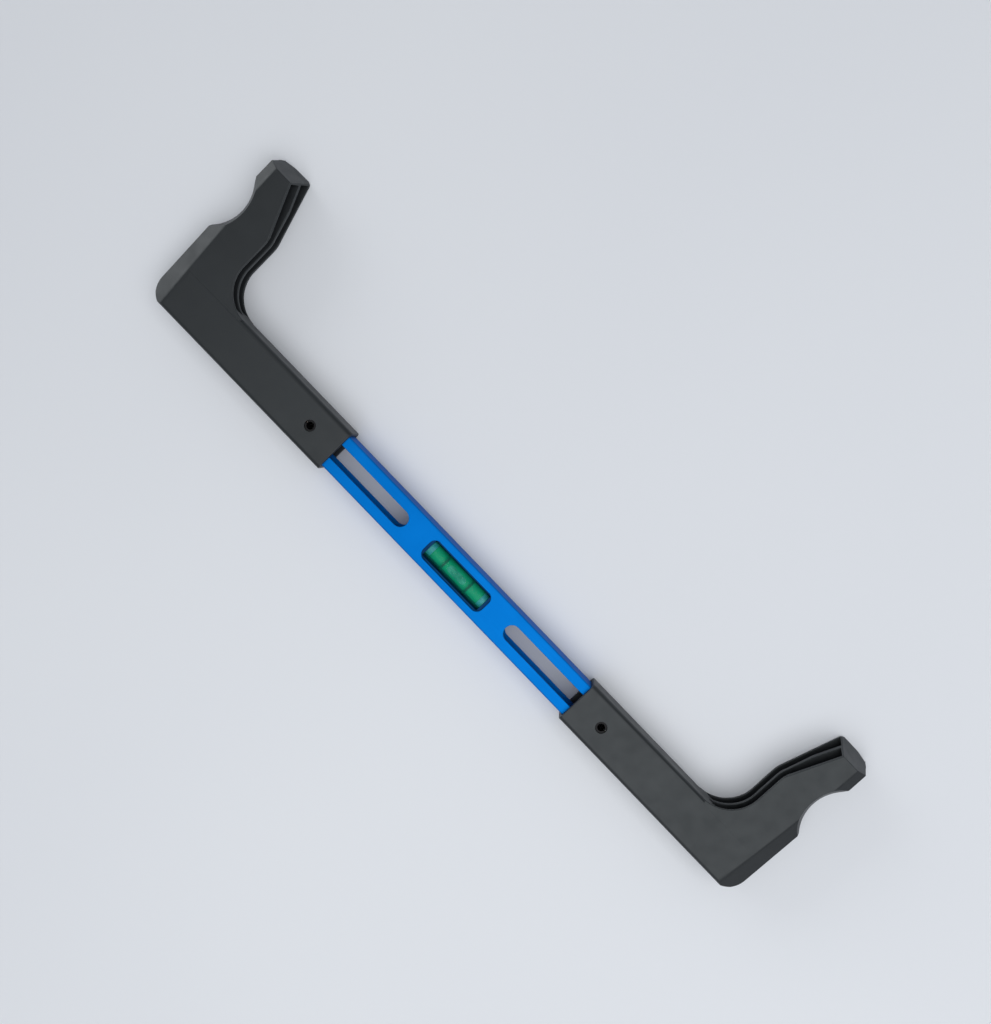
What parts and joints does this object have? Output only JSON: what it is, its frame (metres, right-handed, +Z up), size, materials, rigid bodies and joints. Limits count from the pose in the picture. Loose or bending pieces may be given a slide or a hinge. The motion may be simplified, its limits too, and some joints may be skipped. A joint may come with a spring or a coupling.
{
  "type": "steering wheel level",
  "caption": "Telescoping spirit level for a steering wheel: a blue hollow bar with a green vial and sprung moulded hooks whose seats bear on the inside of the rim.",
  "frame": {"origin": "on the surface that the level lies on, under the middle of its outline", "axes": "+X along the bar, +Y towards the tips of the hooks, +Z up out of the face that shows the vial"},
  "size_m": [0.3812, 0.0862, 0.0166],
  "materials": {
    "blue_aluminium": "blue anodised, satin",
    "hook_plastic": "black moulded plastic with a fine grain",
    "plug_plastic": "dark moulded plastic",
    "bush_plastic": "natural nylon",
    "pin_steel": "blackened rolled steel",
    "spring_steel": "bright spring wire",
    "cradle_plastic": "dark moulded plastic",
    "clear_acrylic": "clear polished acrylic",
    "ring_black": "black marker ring",
    "green_liquid": "clear green liquid",
    "bubble_air": "air bubble"
  },
  "bodies": {
    "bar_body": {"bar": "blue_aluminium", "end_plug_left": "plug_plastic", "end_plug_right": "plug_plastic", "spring_left": "spring_steel", "spring_right": "spring_steel", "vial_cradle": "cradle_plastic", "vial_barrel": "clear_acrylic", "vial_plug_left": "clear_acrylic", "vial_plug_right": "clear_acrylic", "vial_ring_left": "ring_black", "vial_ring_right": "ring_black", "vial_fluid": "green_liquid"},
    "left_hook_body": {"hook_left": "hook_plastic", "guide_bush_left": "bush_plastic", "guide_pin_left": "pin_steel"},
    "right_hook_body": {"hook_right": "hook_plastic", "guide_bush_right": "bush_plastic", "guide_pin_right": "pin_steel"},
    "bubble_body": {"vial_bubble": "bubble_air"}
  },
  "joints": [
    {"name": "left_hook_slide", "type": "slide", "parent": "bar_body", "child": "left_hook_body", "axis": [1, 0, 0], "range_m": [0, 0.0575], "stiffness_N_per_m": 150, "springref_m": -0.02, "deforming": ["spring_left"]},
    {"name": "right_hook_slide", "type": "slide", "parent": "bar_body", "child": "right_hook_body", "axis": [-1, 0, 0], "range_m": [0, 0.0575], "stiffness_N_per_m": 150, "springref_m": -0.02, "deforming": ["spring_right"]},
    {"name": "bubble_slide", "type": "slide", "parent": "bar_body", "child": "bubble_body", "axis": [1, 0, 0], "range_m": [-0.0085, 0.0085], "stiffness_N_per_m": 0.6, "deforming": ["vial_fluid"]}
  ]
}
